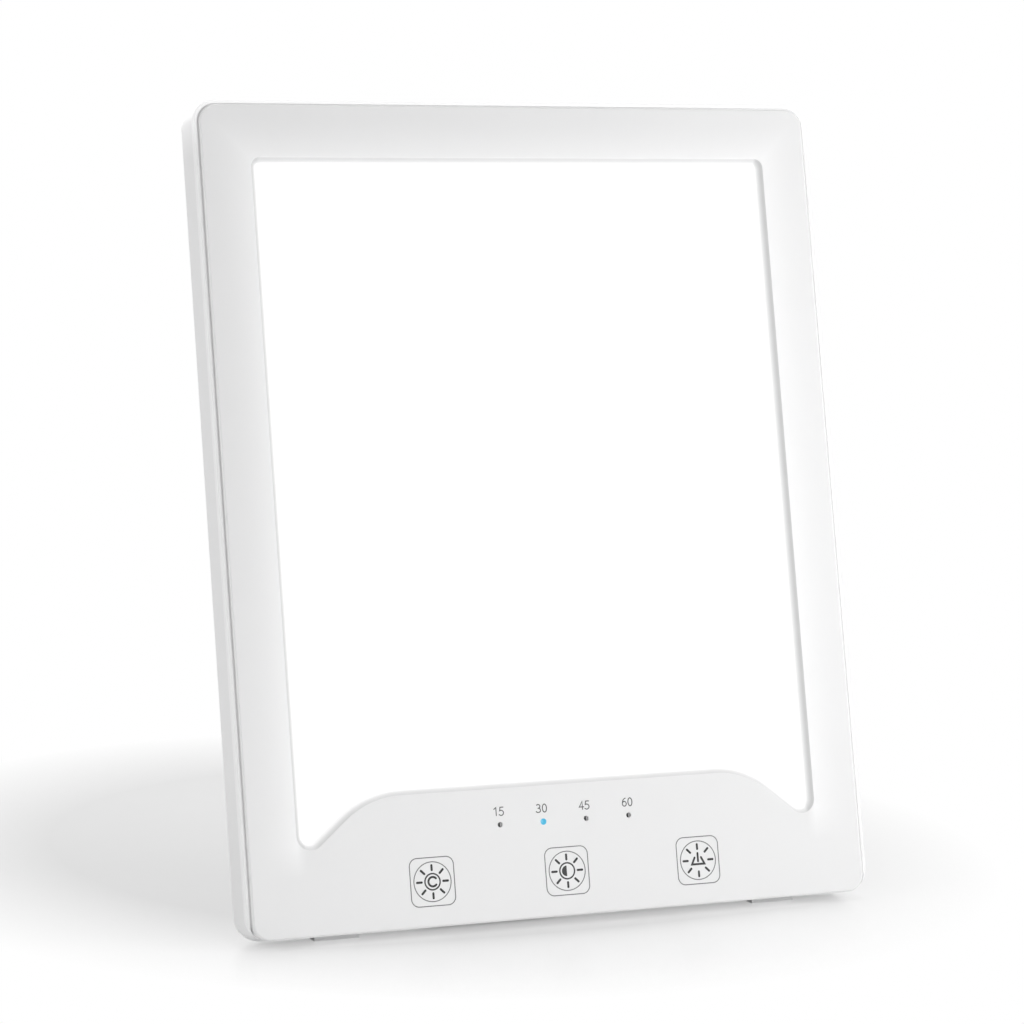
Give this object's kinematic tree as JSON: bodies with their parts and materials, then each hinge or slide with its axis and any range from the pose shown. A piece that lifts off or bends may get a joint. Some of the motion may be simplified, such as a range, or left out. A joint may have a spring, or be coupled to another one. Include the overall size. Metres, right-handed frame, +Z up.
{
  "type": "light therapy lamp",
  "caption": "Slim upright light panel with a glowing window, touch keys and timer lights below it, leaning on a fold-out leg carried by a turntable in its back.",
  "frame": {"origin": "on the floor below the middle of the whole lamp's box, with the leg open", "axes": "+Z up, +X to the right as seen from the front, -Y towards the user; the panel leans back towards +Y"},
  "size_m": [0.2036, 0.074, 0.2483],
  "materials": {
    "white_shell": "satin moulded white",
    "diffuser": "opal, lit from behind",
    "clear_plastic": "clear moulded",
    "lit_pipe": "lit cyan",
    "white_film": "matt film",
    "sheet_metal": "mill",
    "circuit_board": "white solder mask",
    "green_board": "green solder mask",
    "led_yellow": "phosphor",
    "black_plastic": "moulded black",
    "steel": "plated",
    "conductive_foam": "knit over foam",
    "grey_rubber": "matt, pale grey",
    "washer_nylon": "natural",
    "red_wire": "insulated",
    "brass": "plated"
  },
  "bodies": {
    "panel": {"front_bezel": "white_shell", "rear_cover": "white_shell", "diffuser_panel": "diffuser", "prism_film": "white_film", "light_guide": "clear_plastic", "reflector_sheet": "white_film", "back_plate": "sheet_metal", "led_board_left": "circuit_board", "led_board_right": "circuit_board", "led_chips_left": "led_yellow", "led_chips_right": "led_yellow", "plate_screws": "steel", "control_board": "green_board", "board_screws": "steel", "touch_electrodes": "conductive_foam", "indicator_leds": "led_yellow", "control_chips": "black_plastic", "driver_coil": "black_plastic", "driver_capacitors": "sheet_metal", "lead_sockets": "washer_nylon", "led_lead_left": "red_wire", "led_lead_right": "red_wire", "power_jack": "black_plastic", "jack_pin": "brass", "jack_spring": "brass", "case_screws": "steel", "rubber_feet": "grey_rubber", "light_pipe_15": "clear_plastic", "light_pipe_30": "lit_pipe", "light_pipe_45": "clear_plastic", "light_pipe_60": "clear_plastic"},
    "turntable": {"turntable": "white_shell", "slip_washer": "washer_nylon", "retaining_ring": "steel", "ring_screws": "steel", "hinge_pin": "steel"},
    "leg": {"stand_leg": "white_shell", "leg_tip": "grey_rubber"}
  },
  "joints": [
    {"name": "stand_swivel", "type": "hinge", "parent": "panel", "child": "turntable", "pos_m": [0, -0.00043, 0.0995], "axis": [0, 0.9803, -0.1977], "range_deg": [0, 90]},
    {"name": "leg_fold", "type": "hinge", "parent": "turntable", "child": "leg", "pos_m": [0, 0.01071, 0.13602], "axis": [1, 0, 0], "range_deg": [-22, 0]}
  ]
}
